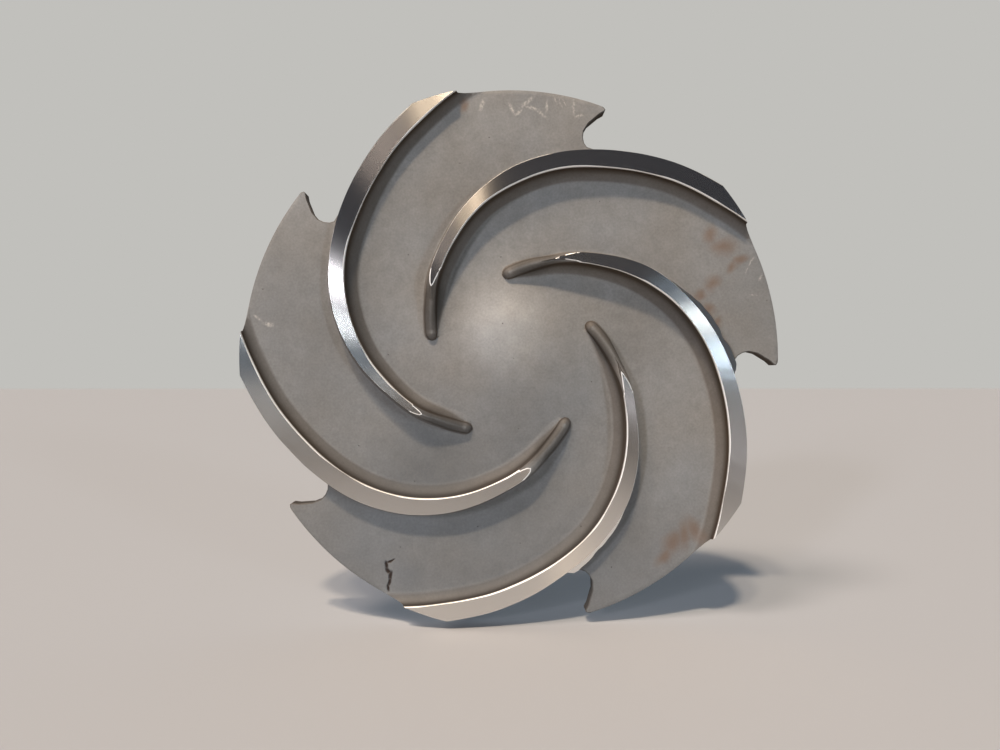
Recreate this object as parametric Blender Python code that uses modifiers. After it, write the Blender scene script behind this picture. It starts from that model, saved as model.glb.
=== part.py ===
"""Pump impeller, 8 inch: one stainless steel casting.

Semi-open wheel with five backward-swept vanes on the front, a scalloped back
shroud, a closed dome over the hub and a blind bore for the shaft at the back.
It is built lying flat, front upward, and then stood up: the shaft axis becomes
Y, the vanes face -Y, and the origin is the centre of the hub's back face.
"""
import math

import bmesh
import bpy
from mathutils import Matrix, Vector

MM = 0.001

# Whole wheel
VANE_COUNT = 5
OUTER_RADIUS = 101.6 * MM
CAST_RADIUS = 106.0 * MM            # before the rim is turned to size
RENDER_STEPS = 90

# Levels along the shaft, measured from the hub's back face
SHROUD_BACK = 26.0 * MM
RIM_THICKNESS = 6.2 * MM
RIM_VANE_HEIGHT = 5.3 * MM
VANE_TOP = SHROUD_BACK + RIM_THICKNESS + RIM_VANE_HEIGHT
# Depth of the front surface below the vane tops: dome, trough round it, rim
FLOOR_DEPTH = (
    (0.0, 4.2 * MM),
    (12.0 * MM, 4.8 * MM),
    (25.0 * MM, 6.6 * MM),
    (37.0 * MM, 8.0 * MM),
    (48.0 * MM, 8.3 * MM),
    (64.0 * MM, 7.2 * MM),
    (82.0 * MM, 5.9 * MM),
    (101.6 * MM, RIM_VANE_HEIGHT),
    (106.0 * MM, RIM_VANE_HEIGHT),
)
FLOOR_RADII = (0.0, 6.0, 12.0, 18.0, 24.0, 30.0, 37.0, 44.0, 52.0, 62.0, 75.0, 90.0)

# Hub boss and bore at the back
BOSS_RADIUS = 25.0 * MM
BOSS_FILLET = 6.0 * MM
BOSS_FILLET_POINTS = 5
BOSS_EDGE = 1.0 * MM
BORE_RADIUS = 12.7 * MM
BORE_DEPTH = 24.0 * MM
BORE_CONE = 4.0 * MM                # the drill point past the bore's full depth
COUNTERBORE_RADIUS = 15.5 * MM
COUNTERBORE_DEPTH = 4.0 * MM

# Vane line: angle inward from the outer tip corner in degrees, radius of the middle line
VANE_LINE = (
    (-16.0, 110.2 * MM),
    (-8.0, 104.1 * MM),
    (0.0, 98.0 * MM),
    (10.0, 91.9 * MM),
    (20.0, 86.1 * MM),
    (40.0, 74.9 * MM),
    (60.0, 62.4 * MM),
    (80.0, 48.9 * MM),
    (98.0, 40.3 * MM),
    (112.0, 35.4 * MM),
    (132.0, 30.4 * MM),
)
# Thickness of the vane's top, along the same angles
VANE_THICKNESS = (
    (-16.0, 6.8 * MM),
    (20.0, 6.9 * MM),
    (40.0, 6.1 * MM),
    (60.0, 5.1 * MM),
    (76.0, 4.1 * MM),
    (98.0, 3.8 * MM),
    (112.0, 3.4 * MM),
    (132.0, 3.2 * MM),
)
FIRST_TIP_ANGLE = 39.9              # outer tip corner of the first vane, degrees
FACE_END = 98.0                     # where the turned top face stops
NOSE_END = 129.0                    # where the nose has sunk into the dome
NOSE_ROUND = 6.0                    # degrees over which the nose rounds off to its end
NOSE_BLUNT = 0.06                   # least share kept, squared, at the very end
NOSE_HEIGHT = 3.0 * MM              # above the dome where the rounding starts
NOSE_SINK = 0.5 * MM
NOSE_CREST = 1.2 * MM               # rounding of the crest along the as-cast nose
FACE_EDGE = 0.25 * MM               # edge break along the turned face
VANE_DRAFT = 0.06                   # outward slope of the walls
OUTER_FILLET = 2.3 * MM
INNER_FILLET = 3.4 * MM
FILLET_WAIST = 0.3                  # the fillet's middle point, as a share of its radius
ROOT_SINK = 0.4 * MM
ROOT_DEPTH = 2.0 * MM
LEAST_STEP = 0.1 * MM               # between the levels of one wall
VANE_ANGLES = (
    -16.0, -9.0, -3.0, 3.0, 8.0, 13.0, 18.0, 23.0, 28.0, 33.0, 38.0, 43.0, 49.0, 55.0, 61.0,
    67.0, 74.0, 82.0, 90.0, 98.0, 103.0, 108.0, 113.0, 118.0, 123.0, 125.5, 127.3, 128.6,
)

# Scallop between a vane's outer wall and the horn of the shroud, same angles
NOTCH_WALL_GAP = 1.1 * MM           # outside the vane's top edge
NOTCH_WALL_ANGLES = (-14.0, -6.0, 0.0, 7.0, 14.0, 21.0, 27.0)
NOTCH_ROUND = (
    (31.2, 85.2 * MM),
    (32.2, 86.3 * MM),
    (32.9, 88.1 * MM),
    (33.2, 90.5 * MM),
    (32.7, 93.7 * MM),
    (31.0, 98.4 * MM),
)
NOTCH_HORN = ((29.6, 101.6 * MM), (27.8, 107.0 * MM))
CUTTER_REACH = 5.0 * MM             # cutters run this far past the faces they cut

# Low ribs on the back of the shroud
RIB_TURN = -21.0                    # degrees from the vane on the front
RIB_HEIGHT = 3.0 * MM
RIB_THICKNESS = 5.0 * MM
RIB_RINGS = 16
RIB_START = -16.0
RIB_END = 96.0
RIB_DRAFT = 0.12
RIB_ROOT = 1.0 * MM


def smooth_value(table, at):
    """Value of a smooth curve through the table's points."""
    last = len(table) - 1
    index = 0
    while index < last - 1 and at > table[index + 1][0]:
        index += 1
    x0, y0 = table[index]
    x1, y1 = table[index + 1]
    slope = (y1 - y0) / (x1 - x0)
    start_slope = slope
    end_slope = slope
    if index > 0:
        start_slope = (y1 - table[index - 1][1]) / (x1 - table[index - 1][0])
    if index < last - 1:
        end_slope = (table[index + 2][1] - y0) / (table[index + 2][0] - x0)
    span = x1 - x0
    u = min(max((at - x0) / span, 0.0), 1.0)
    rise = u * u * (3.0 - 2.0 * u)
    start_part = u * (1.0 - u) * (1.0 - u) * start_slope * span
    end_part = u * u * (1.0 - u) * end_slope * span
    return y0 + (y1 - y0) * rise + start_part - end_part


def floor_level(radius):
    """Height of the front surface between the vanes."""
    return VANE_TOP - smooth_value(FLOOR_DEPTH, radius)


def on_wheel(angle, radius):
    """Point in the flat plane; angles run inward from a vane's outer tip corner."""
    turned = math.radians(angle)
    return Vector((radius * math.cos(turned), radius * math.sin(turned), 0.0))


def vane_frame(angle):
    """Middle point of the vane line and the direction square to it, outward."""
    step = 0.25
    here = on_wheel(angle, smooth_value(VANE_LINE, angle))
    before = on_wheel(angle - step, smooth_value(VANE_LINE, angle - step))
    after = on_wheel(angle + step, smooth_value(VANE_LINE, angle + step))
    along = (after - before).normalized()
    outward = Vector((along.y, -along.x, 0.0))
    return here, outward


def make_object(name, mesh, group):
    """Object of the mesh in the given collection."""
    made = bpy.data.objects.new(name, mesh)
    group.objects.link(made)
    return made


def loft(name, rings, group):
    """Closed body through rings that all have the same number of points."""
    shape = bmesh.new()
    loops = [[shape.verts.new(point) for point in ring] for ring in rings]
    count = len(loops[0])
    for first, second in zip(loops, loops[1:]):
        for index in range(count):
            after = (index + 1) % count
            shape.faces.new((first[index], first[after], second[after], second[index]))
    shape.faces.new(loops[0])
    shape.faces.new(loops[-1])
    bmesh.ops.recalc_face_normals(shape, faces=shape.faces)
    mesh = bpy.data.meshes.new(name)
    shape.to_mesh(mesh)
    shape.free()
    return make_object(name, mesh, group)


def nose_narrowing(angle):
    """Share of the full width left as the nose rounds off to its end."""
    past = (angle - NOSE_END + NOSE_ROUND) / NOSE_ROUND
    if past <= 0.0:
        return 1.0
    return math.sqrt(max(1.0 - past * past, NOSE_BLUNT))


def crest_level(angle):
    """Height of the vane's crest: turned flat, sloping along the nose, then rounding off."""
    if angle <= FACE_END:
        return VANE_TOP
    full_height = VANE_TOP - floor_level(smooth_value(VANE_LINE, FACE_END))
    share = min((angle - FACE_END) / (NOSE_END - NOSE_ROUND - FACE_END), 1.0)
    height = full_height + (NOSE_HEIGHT - full_height) * share
    rounding = nose_narrowing(angle)
    height = (height + NOSE_SINK) * rounding - NOSE_SINK * (2.0 - rounding)
    return floor_level(smooth_value(VANE_LINE, angle)) + height


def vane_ring(angle):
    """Cross-section of a vane: crest, drafted walls, fillets and a root in the shroud."""
    middle, outward = vane_frame(angle)
    crest = crest_level(angle)
    narrowing = nose_narrowing(angle)
    half = 0.5 * smooth_value(VANE_THICKNESS, angle) * narrowing
    nose_share = max(0.0, (angle - FACE_END) / (NOSE_END - FACE_END))
    edge = FACE_EDGE + (NOSE_CREST - FACE_EDGE) * min(1.0, 2.0 * nose_share)
    edge = min(edge, 0.6 * half)
    sides = []
    for side, full_fillet in ((1.0, OUTER_FILLET), (-1.0, INNER_FILLET)):
        height = max(crest - floor_level((middle + outward * side * half).length), NOSE_SINK)
        fillet = min(full_fillet, 0.7 * height) * narrowing
        wall_foot = half + VANE_DRAFT * (height - fillet)
        above_floor = (
            (wall_foot, fillet),
            (wall_foot + FILLET_WAIST * fillet, FILLET_WAIST * fillet),
            (wall_foot + fillet, -ROOT_SINK),
            (wall_foot + 0.7 * fillet, -ROOT_DEPTH),
        )
        level = crest - edge
        points = [middle + outward * side * (half - edge), middle + outward * side * half]
        points[0].z = crest
        points[1].z = level
        for offset, lift in above_floor:
            point = middle + outward * side * offset
            level = min(floor_level(point.length) + lift, level - LEAST_STEP)
            point.z = level
            points.append(point)
        sides.append(points)
    return sides[0] + sides[1][::-1]


def rib_ring(angle):
    """Cross-section of a low rib on the back of the shroud."""
    middle, outward = vane_frame(angle)
    half = 0.5 * RIB_THICKNESS
    foot = half + RIB_DRAFT * RIB_HEIGHT
    return [
        middle + outward * half + Vector((0.0, 0.0, SHROUD_BACK - RIB_HEIGHT)),
        middle - outward * half + Vector((0.0, 0.0, SHROUD_BACK - RIB_HEIGHT)),
        middle - outward * foot + Vector((0.0, 0.0, SHROUD_BACK + RIB_ROOT)),
        middle + outward * foot + Vector((0.0, 0.0, SHROUD_BACK + RIB_ROOT)),
    ]


def spaced(first, last, count):
    """Evenly spaced numbers from first to last."""
    return [first + (last - first) * index / (count - 1) for index in range(count)]


def turned_body(name, profile, group):
    """Body turned about the shaft axis; the profile runs down its outer side."""
    mesh = bpy.data.meshes.new(name)
    points = [(radius, 0.0, level) for radius, level in profile]
    edges = [(index, index + 1) for index in range(len(points) - 1)]
    mesh.from_pydata(points, edges, [])
    made = make_object(name, mesh, group)
    screw = made.modifiers.new("turned", 'SCREW')
    screw.axis = 'Z'
    screw.steps = RENDER_STEPS
    screw.render_steps = RENDER_STEPS
    screw.use_merge_vertices = True
    screw.merge_threshold = 0.00001
    return made


def flat_cutter(name, outline, bottom, top, group):
    """Straight-sided cutter standing on a flat outline."""
    curve = bpy.data.curves.new(name, 'CURVE')
    curve.dimensions = '2D'
    curve.fill_mode = 'BOTH'
    curve.extrude = 0.5 * (top - bottom)
    line = curve.splines.new('POLY')
    line.points.add(len(outline) - 1)
    for spot, point in zip(line.points, outline):
        spot.co = (point.x, point.y, 0.0, 1.0)
    line.use_cyclic_u = True
    drawn = make_object(name + "_outline", curve, group)
    drawn.location.z = 0.5 * (top + bottom)
    bpy.context.view_layer.update()
    mesh = bpy.data.meshes.new_from_object(
        drawn.evaluated_get(bpy.context.evaluated_depsgraph_get()))
    mesh.transform(drawn.matrix_world)
    bpy.data.objects.remove(drawn)
    shape = bmesh.new()
    shape.from_mesh(mesh)
    bmesh.ops.remove_doubles(shape, verts=shape.verts, dist=0.000001)
    bmesh.ops.recalc_face_normals(shape, faces=shape.faces)
    shape.to_mesh(mesh)
    shape.free()
    return make_object(name, mesh, group)


def combine(body, other, operation):
    """Live Boolean on the body."""
    cut = body.modifiers.new(other.name, 'BOOLEAN')
    cut.operation = operation
    cut.object = other
    cut.solver = 'EXACT'
    other.hide_render = True
    other.display_type = 'WIRE'


def turn_about_shaft(thing, degrees):
    """Turn a body's mesh about the shaft axis."""
    thing.data.transform(Matrix.Rotation(math.radians(degrees), 4, 'Z'))


def wheel_profile():
    """Half-section of the turned body: dome, shroud, back, boss and its rounded foot."""
    profile = [(radius * MM, floor_level(radius * MM)) for radius in FLOOR_RADII]
    profile.append((CAST_RADIUS, floor_level(CAST_RADIUS)))
    profile.append((CAST_RADIUS, SHROUD_BACK))
    for index in range(BOSS_FILLET_POINTS):
        turn = 0.5 * math.pi * index / (BOSS_FILLET_POINTS - 1)
        profile.append((
            BOSS_RADIUS + BOSS_FILLET * (1.0 - math.sin(turn)),
            SHROUD_BACK - BOSS_FILLET * (1.0 - math.cos(turn)),
        ))
    profile.append((BOSS_RADIUS, BOSS_EDGE))
    profile.append((BOSS_RADIUS - BOSS_EDGE, 0.0))
    profile.append((0.0, 0.0))
    return profile


def bore_profile():
    """Half-section of the blind bore with its counterbore and drill point."""
    return [
        (0.0, BORE_DEPTH + BORE_CONE),
        (BORE_RADIUS, BORE_DEPTH),
        (BORE_RADIUS, COUNTERBORE_DEPTH),
        (COUNTERBORE_RADIUS, COUNTERBORE_DEPTH),
        (COUNTERBORE_RADIUS, -CUTTER_REACH),
        (0.0, -CUTTER_REACH),
    ]


def notch_outline():
    """Scallop: along a vane's outer wall, round the bottom and out along the horn."""
    outline = []
    for angle in NOTCH_WALL_ANGLES:
        middle, outward = vane_frame(angle)
        half = 0.5 * smooth_value(VANE_THICKNESS, angle)
        outline.append(middle + outward * (half + NOTCH_WALL_GAP))
    outline += [on_wheel(angle, radius) for angle, radius in NOTCH_ROUND]
    outline += [on_wheel(angle, radius) for angle, radius in NOTCH_HORN]
    return outline


def stainless():
    """Dull cast stainless steel."""
    material = bpy.data.materials.new("cast_stainless")
    material.use_nodes = True
    shader = material.node_tree.nodes["Principled BSDF"]
    shader.inputs["Base Color"].default_value = (0.36, 0.34, 0.31, 1.0)
    shader.inputs["Metallic"].default_value = 1.0
    shader.inputs["Roughness"].default_value = 0.5
    return material


for thing in list(bpy.data.objects):
    bpy.data.objects.remove(thing)

wheel_group = bpy.data.collections.new("pump_impeller")
cutter_group = bpy.data.collections.new("impeller_cutters")
bpy.context.scene.collection.children.link(wheel_group)
bpy.context.scene.collection.children.link(cutter_group)

casting = turned_body("impeller_casting", wheel_profile(), wheel_group)
pitch = 360.0 / VANE_COUNT
for number in range(VANE_COUNT):
    place = FIRST_TIP_ANGLE + pitch * number
    vane_rings = [vane_ring(angle) for angle in VANE_ANGLES]
    vane = loft("vane_{}".format(number + 1), vane_rings, cutter_group)
    turn_about_shaft(vane, place)
    combine(casting, vane, 'UNION')
    rib_rings = [rib_ring(angle) for angle in spaced(RIB_START, RIB_END, RIB_RINGS)]
    rib = loft("back_rib_{}".format(number + 1), rib_rings, cutter_group)
    turn_about_shaft(rib, place + RIB_TURN)
    combine(casting, rib, 'UNION')

rim = turned_body("turned_rim", [
    (0.0, VANE_TOP + CUTTER_REACH),
    (OUTER_RADIUS, VANE_TOP + CUTTER_REACH),
    (OUTER_RADIUS, -CUTTER_REACH),
    (0.0, -CUTTER_REACH),
], cutter_group)
combine(casting, rim, 'INTERSECT')

for number in range(VANE_COUNT):
    notch = flat_cutter("notch_{}".format(number + 1), notch_outline(),
                        -CUTTER_REACH, VANE_TOP + CUTTER_REACH, cutter_group)
    turn_about_shaft(notch, FIRST_TIP_ANGLE + pitch * number)
    combine(casting, notch, 'DIFFERENCE')

bore = turned_body("shaft_bore", bore_profile(), cutter_group)
combine(casting, bore, 'DIFFERENCE')

casting.data.materials.append(stainless())
casting.rotation_euler = (math.radians(90.0), 0.0, 0.0)
for cutter in cutter_group.objects:
    cutter.rotation_euler = (math.radians(90.0), 0.0, 0.0)
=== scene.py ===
"""Looks of the pump impeller: one stainless steel casting, turned on its rim and vane faces.

The wheel is built lying flat, front upward, with the origin at the centre of the hub's
back face. It is then stood up, so that the shaft axis is Y and the vanes face -Y.
"""

import math

import bmesh
import bpy
from mathutils import Matrix, Vector, noise


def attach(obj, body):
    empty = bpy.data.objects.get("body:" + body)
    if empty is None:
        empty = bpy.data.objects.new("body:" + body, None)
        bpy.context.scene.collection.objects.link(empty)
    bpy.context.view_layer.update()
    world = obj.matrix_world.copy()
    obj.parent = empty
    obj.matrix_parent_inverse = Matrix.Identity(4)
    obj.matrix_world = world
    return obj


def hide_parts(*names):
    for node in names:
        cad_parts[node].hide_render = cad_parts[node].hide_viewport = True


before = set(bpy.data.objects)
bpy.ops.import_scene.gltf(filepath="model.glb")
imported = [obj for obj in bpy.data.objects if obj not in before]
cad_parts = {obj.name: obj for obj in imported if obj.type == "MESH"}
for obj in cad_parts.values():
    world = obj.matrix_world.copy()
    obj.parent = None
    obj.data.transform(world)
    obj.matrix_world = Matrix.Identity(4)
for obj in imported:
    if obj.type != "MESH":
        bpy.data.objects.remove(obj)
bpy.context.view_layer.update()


# Wheel body
# The shroud disc, the low dome over the hub and the hub boss behind it are one
# stainless steel sand casting with the vanes. They are turned shapes of the pattern.
MM = 0.001
CAST_RADIUS = 106.0 * MM            # before the rim is turned to size
SHROUD_BACK = 26.0 * MM
RIM_THICKNESS = 6.2 * MM
RIM_VANE_HEIGHT = 5.3 * MM
VANE_TOP = SHROUD_BACK + RIM_THICKNESS + RIM_VANE_HEIGHT
FLOOR_DEPTH = (                     # depth of the front surface below the vane tops
    (0.0, 4.2 * MM),
    (12.0 * MM, 4.8 * MM),
    (25.0 * MM, 6.6 * MM),
    (37.0 * MM, 8.0 * MM),
    (48.0 * MM, 8.3 * MM),
    (64.0 * MM, 7.2 * MM),
    (82.0 * MM, 5.9 * MM),
    (101.6 * MM, RIM_VANE_HEIGHT),
    (106.0 * MM, RIM_VANE_HEIGHT),
)
FLOOR_STEP = 2.0 * MM               # between rings of the front surface
BACK_STEP = 6.0 * MM
BOSS_RADIUS = 25.0 * MM
BOSS_FILLET = 6.0 * MM
BOSS_FILLET_POINTS = 9
BOSS_EDGE = 1.0 * MM
ALLOWANCE = 0.8 * MM                # cast metal above each turned level
AROUND = 240                        # facets around the shaft
WELD = 0.00001

# Finishes of the casting's faces, in the order of its material slots
FINISHES = ("blasted_cast_stainless", "faced_stainless", "edge_lip", "ground_stainless")
BLASTED, FACED, LIP, GROUND = range(len(FINISHES))
finishes = [bpy.data.materials.new(name) for name in FINISHES]


def smooth_value(table, at):
    """Value of a smooth curve through the table's points."""
    last = len(table) - 1
    index = 0
    while index < last - 1 and at > table[index + 1][0]:
        index += 1
    x0, y0 = table[index]
    x1, y1 = table[index + 1]
    slope = (y1 - y0) / (x1 - x0)
    start_slope = slope
    end_slope = slope
    if index > 0:
        start_slope = (y1 - table[index - 1][1]) / (x1 - table[index - 1][0])
    if index < last - 1:
        end_slope = (table[index + 2][1] - y0) / (table[index + 2][0] - x0)
    span = x1 - x0
    u = min(max((at - x0) / span, 0.0), 1.0)
    rise = u * u * (3.0 - 2.0 * u)
    start_part = u * (1.0 - u) * (1.0 - u) * start_slope * span
    end_part = u * u * (1.0 - u) * end_slope * span
    return y0 + (y1 - y0) * rise + start_part - end_part


def floor_level(radius):
    """Height of the front surface between the vanes."""
    return VANE_TOP - smooth_value(FLOOR_DEPTH, radius)


def stepped(first, last, step):
    """Numbers from first to last in even steps of about the given size."""
    count = max(1, round(abs(last - first) / step))
    return [first + (last - first) * index / count for index in range(count + 1)]


def piece_of(name, shape):
    """Object of a finished bmesh, faces outward, with every finish in its slots."""
    bmesh.ops.recalc_face_normals(shape, faces=shape.faces)
    if shape.calc_volume(signed=True) < 0.0:
        bmesh.ops.reverse_faces(shape, faces=shape.faces)
    mesh = bpy.data.meshes.new(name)
    shape.to_mesh(mesh)
    shape.free()
    for finish in finishes:
        mesh.materials.append(finish)
    made = bpy.data.objects.new(name, mesh)
    bpy.context.scene.collection.objects.link(made)
    return made


def spun(profile, facets=AROUND):
    """Bmesh of a profile, given as radius and level, spun about the shaft axis."""
    shape = bmesh.new()
    line = [shape.verts.new((radius, 0.0, level)) for radius, level in profile]
    edges = [shape.edges.new(pair) for pair in zip(line, line[1:])]
    bmesh.ops.spin(shape, geom=line + edges, axis=(0.0, 0.0, 1.0), cent=(0.0, 0.0, 0.0),
                   steps=facets, angle=2.0 * math.pi, use_merge=True)
    bmesh.ops.remove_doubles(shape, verts=shape.verts, dist=WELD)
    return shape


def wheel_profile():
    """Half-section: dome, trough and rim, back of the shroud, boss and its rounded foot."""
    front = [(radius, floor_level(radius)) for radius in stepped(0.0, CAST_RADIUS, FLOOR_STEP)]
    foot_radius = BOSS_RADIUS + BOSS_FILLET
    back = [(radius, SHROUD_BACK) for radius in stepped(CAST_RADIUS, foot_radius, BACK_STEP)]
    fillet = []
    for index in range(1, BOSS_FILLET_POINTS):
        turn = 0.5 * math.pi * index / (BOSS_FILLET_POINTS - 1)
        fillet.append((foot_radius - BOSS_FILLET * math.sin(turn),
                       SHROUD_BACK - BOSS_FILLET * (1.0 - math.cos(turn))))
    side = [(BOSS_RADIUS, level) for level in
            stepped(SHROUD_BACK - BOSS_FILLET, BOSS_EDGE, BACK_STEP)][1:]
    end = [(BOSS_RADIUS - BOSS_EDGE, 0.0), (BOSS_RADIUS - BOSS_EDGE, -ALLOWANCE), (0.0, -ALLOWANCE)]
    return front + back + fillet + side + end


casting = piece_of("impeller", spun(wheel_profile()))


# Vanes
# Five backward-swept vanes stand on the shroud as cast, a little too tall, so that
# their tops can be turned flat. Towards the eye each sinks into the dome as a rounded nose.
VANE_COUNT = 5
PITCH = 360.0 / VANE_COUNT
FIRST_TIP_ANGLE = 39.9              # outer tip corner of the first vane, degrees
VANE_TURNS = (-0.45, -0.3, -0.6, 0.6, 0.3)  # each vane's own error in place, degrees
VANE_LINE = (                       # angle inward from the tip corner, mid-line radius
    (-16.0, 110.2 * MM),
    (-8.0, 104.1 * MM),
    (0.0, 98.0 * MM),
    (10.0, 91.9 * MM),
    (20.0, 86.1 * MM),
    (40.0, 74.9 * MM),
    (60.0, 62.4 * MM),
    (80.0, 48.9 * MM),
    (98.0, 40.3 * MM),
    (112.0, 35.4 * MM),
    (132.0, 30.4 * MM),
)
VANE_THICKNESS = (
    (-16.0, 6.8 * MM),
    (20.0, 6.9 * MM),
    (40.0, 6.1 * MM),
    (60.0, 5.1 * MM),
    (76.0, 4.1 * MM),
    (98.0, 4.2 * MM),
    (112.0, 4.7 * MM),
    (132.0, 4.6 * MM),
)
# Each vane of the pattern was shaped by hand. At these angles its outer edge lies further
# out, and its inner edge further in, than the common line and thickness give, in mm.
EDGE_ANGLES = (-10.0, 4.0, 16.0, 27.0, 38.0, 50.0, 62.0, 74.0, 86.0, 98.0, 115.0)
OUTER_SHIFTS = (
    (0.0, -0.1, -0.6, -1.1, -0.9, -0.3, -0.3, 0.5, 0.7, 0.5, 0.0),
    (0.1, 0.0, -0.4, -0.5, -0.3, 0.0, 0.0, 0.5, 0.3, 0.2, 0.0),
    (0.3, 0.3, 0.0, 0.1, 0.4, 0.5, 0.3, 0.7, 0.7, 0.4, 0.0),
    (-0.4, -0.7, -1.4, -2.3, -2.0, -1.3, -1.8, -1.5, -0.9, -0.8, 0.0),
    (-0.3, -0.8, -1.6, -2.2, -2.5, -2.1, -0.8, 0.0, -0.1, -0.5, 0.0),
)
INNER_SHIFTS = (
    (0.0, -0.2, 0.4, 1.0, 0.9, 0.9, 0.3, -0.3, -0.8, -0.9, -0.3),
    (-0.1, -0.1, 0.5, 0.6, 0.1, 0.1, 0.1, -0.6, -1.2, -1.4, -0.4),
    (-0.7, -0.6, 0.0, 0.1, 0.3, 0.4, 0.6, 0.1, -0.4, -0.3, 0.0),
    (0.6, 0.5, 0.9, 1.1, 1.4, 1.9, 2.1, 1.5, 0.6, 0.4, 0.0),
    (0.8, 0.7, 1.1, 1.4, 1.5, 1.5, 1.5, 0.8, 0.0, -0.4, 0.0),
)
VANE_START = -16.0
FACE_TIPS = (98.4, 99.3, 95.2, 95.4, 97.5)  # where each vane's turned face ends
FACE_TAPERS = (6.7, 4.4, 4.4, 8.7, 8.7)     # degrees over which that end narrows
NOSE_END = 129.0                    # where the nose has sunk into the dome
NOSE_ROUND = 6.0                    # degrees over which the nose rounds off to its end
NOSE_BLUNT = 0.04                   # least share kept, squared, at the very end
NOSE_HEIGHT = 3.0 * MM
NOSE_SINK = 0.5 * MM
NOSE_FALL = 1.3                     # power with which the crest sinks along the nose
NOSE_EDGE = 2.4 * MM                # rounding of the crest along the nose
NOSE_EDGE_SHARE = 0.9               # the most of the half width that this rounding takes
NOSE_EDGE_SPAN = 14.0               # degrees over which that rounding grows
CROWN_POINTS = 3
CROWN_FADE = 8.0                    # degrees past the tip over which that arch fades
OUTER_EDGE = 0.10 * MM
INNER_EDGE = 0.55 * MM              # the lip along the inner edge of the turned face
EDGE_POINTS = 6
VANE_DRAFT = 0.06                   # outward slope of the walls
OUTER_FILLETS = (1.6 * MM, 0.9 * MM)    # along the vane, then along its nose
INNER_FILLETS = (4.2 * MM, 3.8 * MM)
FILLET_POINTS = 9
FILLET_SHARE = 0.75                 # the most of the wall's height that a fillet takes
FILLET_SINK = 0.03 * MM             # the fillet's foot lies this far in the shroud
FILLET_END = math.radians(78.0)     # turn at which it meets the shroud, short of tangent
ROOT_SHARE = 0.8                    # width of the root against the fillet's foot
ROOT_DEPTH = 2.0 * MM
ALONG_STEP = 1.2                    # degrees between cross-sections
GROUND_WIDTHS = {                   # vane number: angle, width of the strip beside its face
    3: ((28.0, 2.1 * MM), (38.0, 1.4 * MM), (45.0, 0.8 * MM), (49.0, 0.0)),
    4: ((28.0, 2.4 * MM), (38.0, 2.6 * MM), (46.0, 2.3 * MM), (52.0, 1.3 * MM), (59.0, 0.0)),
}
GROUND_SLOPE = 0.62                 # fall of the ground strip over its width
GROUND_STEP = 0.35 * MM             # drop from the turned face to the strip
GROUND_WOBBLE = 0.35
GROUND_WOBBLE_SPAN = 2.3            # degrees
LINE_STEP = 0.25                    # degrees, for the direction of the vane line


def on_wheel(angle, radius):
    """Point in the flat plane; angles run inward from a vane's outer tip corner."""
    turned = math.radians(angle)
    return Vector((radius * math.cos(turned), radius * math.sin(turned), 0.0))


def vane_frame(angle):
    """Middle point of the vane line and the direction square to it, outward."""
    here = on_wheel(angle, smooth_value(VANE_LINE, angle))
    before = on_wheel(angle - LINE_STEP, smooth_value(VANE_LINE, angle - LINE_STEP))
    after = on_wheel(angle + LINE_STEP, smooth_value(VANE_LINE, angle + LINE_STEP))
    along = (after - before).normalized()
    return here, Vector((along.y, -along.x, 0.0))


def nose_narrowing(angle):
    """Share of the full width left as the nose rounds off to its end."""
    past = (angle - NOSE_END + NOSE_ROUND) / NOSE_ROUND
    if past <= 0.0:
        return 1.0
    return math.sqrt(max(1.0 - past * past, NOSE_BLUNT))


def half_width(number, angle, side):
    """Distance from the vane line to one edge of a vane's turned face."""
    shifts = OUTER_SHIFTS if side > 0.0 else INNER_SHIFTS
    shift = smooth_value(tuple(zip(EDGE_ANGLES, shifts[number])), angle) * MM
    return 0.5 * smooth_value(VANE_THICKNESS, angle) + shift


def face_height(number):
    """Height of a vane where its turned face begins to narrow."""
    face_end = FACE_TIPS[number] - FACE_TAPERS[number]
    return VANE_TOP - floor_level(smooth_value(VANE_LINE, face_end))


def nose_fall(number, angle):
    """How far a vane's crest has sunk on its way from the turned face to the nose."""
    face_end = FACE_TIPS[number] - FACE_TAPERS[number]
    share = (angle - face_end) / (NOSE_END - NOSE_ROUND - face_end)
    share = math.copysign(min(abs(share), 1.0) ** NOSE_FALL, share)
    return (face_height(number) - NOSE_HEIGHT) * share


def crest_level(number, angle):
    """Height of the cast crest: above the turned level, then sloping and rounding off."""
    floor = floor_level(smooth_value(VANE_LINE, angle))
    height = face_height(number) - nose_fall(number, angle)
    rounding = nose_narrowing(angle)
    height = (height + NOSE_SINK) * rounding - NOSE_SINK * (2.0 - rounding)
    return min(floor + height, VANE_TOP + ALLOWANCE)


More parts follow.
